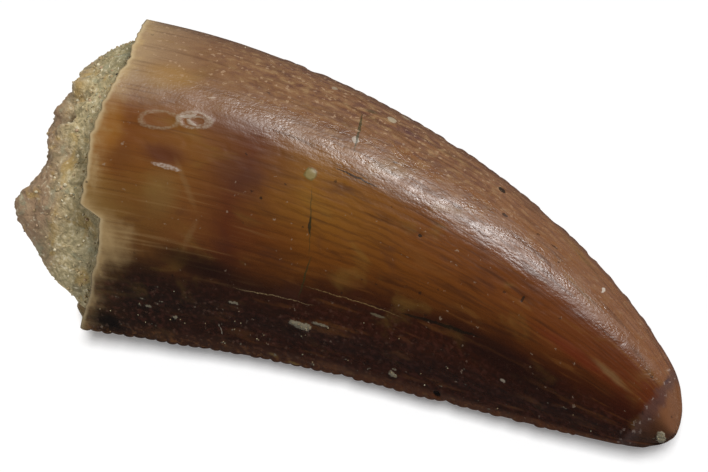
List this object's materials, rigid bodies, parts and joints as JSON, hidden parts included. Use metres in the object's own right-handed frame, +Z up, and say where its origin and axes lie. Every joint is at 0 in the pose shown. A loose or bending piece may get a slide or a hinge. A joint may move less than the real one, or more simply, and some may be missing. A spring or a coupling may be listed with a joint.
{
  "type": "fossil raptor tooth",
  "caption": "Curved fossil theropod tooth crown lying on its side, serrated along both edges, its broken base filled with sandstone.",
  "frame": {"origin": "middle of the small flat spot under the crown that the tooth rests on", "axes": "+X from the broken base towards the tip, +Y towards the convex mesial edge, +Z up through the two faces"},
  "size_m": [0.0239, 0.0114, 0.0057],
  "materials": {
    "fossil_enamel": "satin",
    "sandstone": "matte"
  },
  "bodies": {
    "root": {"tooth_crown": "fossil_enamel", "sandstone_plug": "sandstone"}
  },
  "joints": []
}
